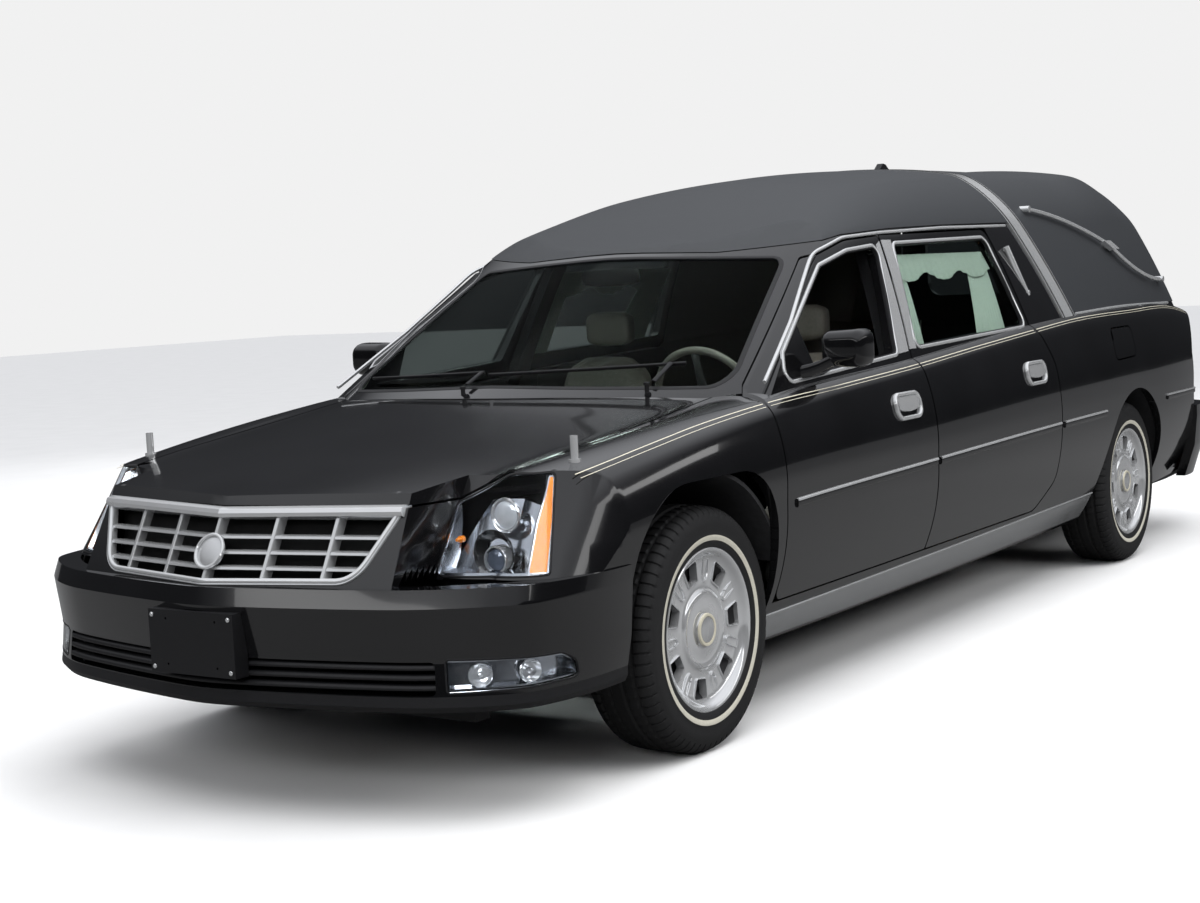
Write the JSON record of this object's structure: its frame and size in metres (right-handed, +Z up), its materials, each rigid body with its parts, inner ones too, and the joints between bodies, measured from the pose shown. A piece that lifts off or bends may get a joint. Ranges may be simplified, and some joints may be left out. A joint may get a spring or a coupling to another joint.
{
  "type": "hearse",
  "caption": "Long saloon hearse with a vinyl formal roof, side doors, steered front wheels, a rear load door and a casket deck.",
  "frame": {"origin": "on the road, under the middle of the length between the bumper faces", "axes": "+X to the vehicle's left, -Y forward, +Z up"},
  "size_m": [2.074, 6.1586, 1.7898],
  "materials": {
    "paint": "gloss black paint",
    "vinyl": "grained vinyl",
    "chrome": "polished",
    "cover": "polished",
    "glass": "clear",
    "lamp": "clear",
    "red_lamp": "gloss",
    "trim": "satin",
    "wheel_rim": "satin",
    "leather": "soft",
    "wood": "varnished",
    "drape": "matt",
    "tyre": "matt",
    "chassis": "satin",
    "underbody": "matt",
    "steel": "satin",
    "iron": "rough"
  },
  "bodies": {
    "body": {"floor_pan": "underbody", "chassis_frame": "chassis", "front_subframe": "chassis", "rear_axle": "chassis", "engine": "iron", "fuel_tank": "underbody", "exhaust": "steel", "front_fenders": "paint", "rear_quarters": "paint", "rockers": "paint", "cowl": "trim", "cabin_frame": "trim", "roof": "vinyl", "roof_bow": "chrome", "landau_bars": "chrome", "coach_lamps": "chrome", "front_bumper": "paint", "rear_bumper": "paint", "grille": "chrome", "headlamps": "lamp", "fog_lamps": "lamp", "tail_lamps": "red_lamp", "windshield": "glass", "wipers": "trim", "plate_bracket": "trim", "flag_holders": "chrome", "antenna_fin": "trim", "dashboard": "trim", "steering_wheel": "wheel_rim", "seats": "leather", "casket_deck": "wood"},
    "hood": {"hood": "paint"},
    "fuel_door": {"fuel_door": "paint"},
    "load_door": {"load_door": "paint", "load_glass": "glass"},
    "front_door_left": {"door_front_left": "paint", "mirror_left": "trim"},
    "front_door_right": {"door_front_right": "paint", "glass_front_right": "glass", "mirror_right": "trim"},
    "rear_door_left": {"door_rear_left": "paint", "glass_rear_left": "glass", "drapes_left": "drape"},
    "rear_door_right": {"door_rear_right": "paint", "glass_rear_right": "glass", "drapes_right": "drape"},
    "knuckle_left": {"knuckle_left": "iron"},
    "knuckle_right": {"knuckle_right": "iron"},
    "front_wheel_left": {"tyre_front_left": "tyre", "wheel_front_left": "cover"},
    "front_wheel_right": {"tyre_front_right": "tyre", "wheel_front_right": "cover"},
    "rear_wheel_left": {"tyre_rear_left": "tyre", "wheel_rear_left": "cover"},
    "rear_wheel_right": {"tyre_rear_right": "tyre", "wheel_rear_right": "cover"}
  },
  "joints": [
    {"name": "front_door_left_hinge", "type": "hinge", "parent": "body", "child": "front_door_left", "pos_m": [0.958, -1.573, 0.7], "axis": [0, 0, -1], "range_deg": [0, 65]},
    {"name": "rear_door_left_hinge", "type": "hinge", "parent": "body", "child": "rear_door_left", "pos_m": [0.958, -0.479, 0.7], "axis": [0, 0, -1], "range_deg": [0, 65]},
    {"name": "steer_left", "type": "hinge", "parent": "body", "child": "knuckle_left", "pos_m": [0.7, -1.971, 0.351], "axis": [0, 0, 1], "range_deg": [-33, 33]},
    {"name": "spin_front_left", "type": "hinge", "parent": "knuckle_left", "child": "front_wheel_left", "pos_m": [0.797, -1.971, 0.351], "axis": [1, 0, 0], "continuous": true},
    {"name": "spin_rear_left", "type": "hinge", "parent": "body", "child": "rear_wheel_left", "pos_m": [0.797, 1.669, 0.351], "axis": [1, 0, 0], "continuous": true},
    {"name": "front_door_right_hinge", "type": "hinge", "parent": "body", "child": "front_door_right", "pos_m": [-0.958, -1.573, 0.7], "axis": [0, 0, 1], "range_deg": [0, 65]},
    {"name": "rear_door_right_hinge", "type": "hinge", "parent": "body", "child": "rear_door_right", "pos_m": [-0.958, -0.479, 0.7], "axis": [0, 0, 1], "range_deg": [0, 65]},
    {"name": "steer_right", "type": "hinge", "parent": "body", "child": "knuckle_right", "pos_m": [-0.7, -1.971, 0.351], "axis": [0, 0, 1], "range_deg": [-33, 33]},
    {"name": "spin_front_right", "type": "hinge", "parent": "knuckle_right", "child": "front_wheel_right", "pos_m": [-0.797, -1.971, 0.351], "axis": [1, 0, 0], "continuous": true},
    {"name": "spin_rear_right", "type": "hinge", "parent": "body", "child": "rear_wheel_right", "pos_m": [-0.797, 1.669, 0.351], "axis": [1, 0, 0], "continuous": true},
    {"name": "hood_hinge", "type": "hinge", "parent": "body", "child": "hood", "pos_m": [0, -1.721, 1.01], "axis": [-1, 0, 0], "range_deg": [0, 50]},
    {"name": "load_door_hinge", "type": "hinge", "parent": "body", "child": "load_door", "pos_m": [0.626, 2.974, 1.1], "axis": [0, 0, -1], "range_deg": [0, 100]},
    {"name": "fuel_door_hinge", "type": "hinge", "parent": "body", "child": "fuel_door", "pos_m": [0.938, 1.419, 0.965], "axis": [0, 0, -1], "range_deg": [0, 70]}
  ],
  "couplings": [
    {"joint": "steer_right", "follows": "steer_left", "ratio": 1}
  ]
}
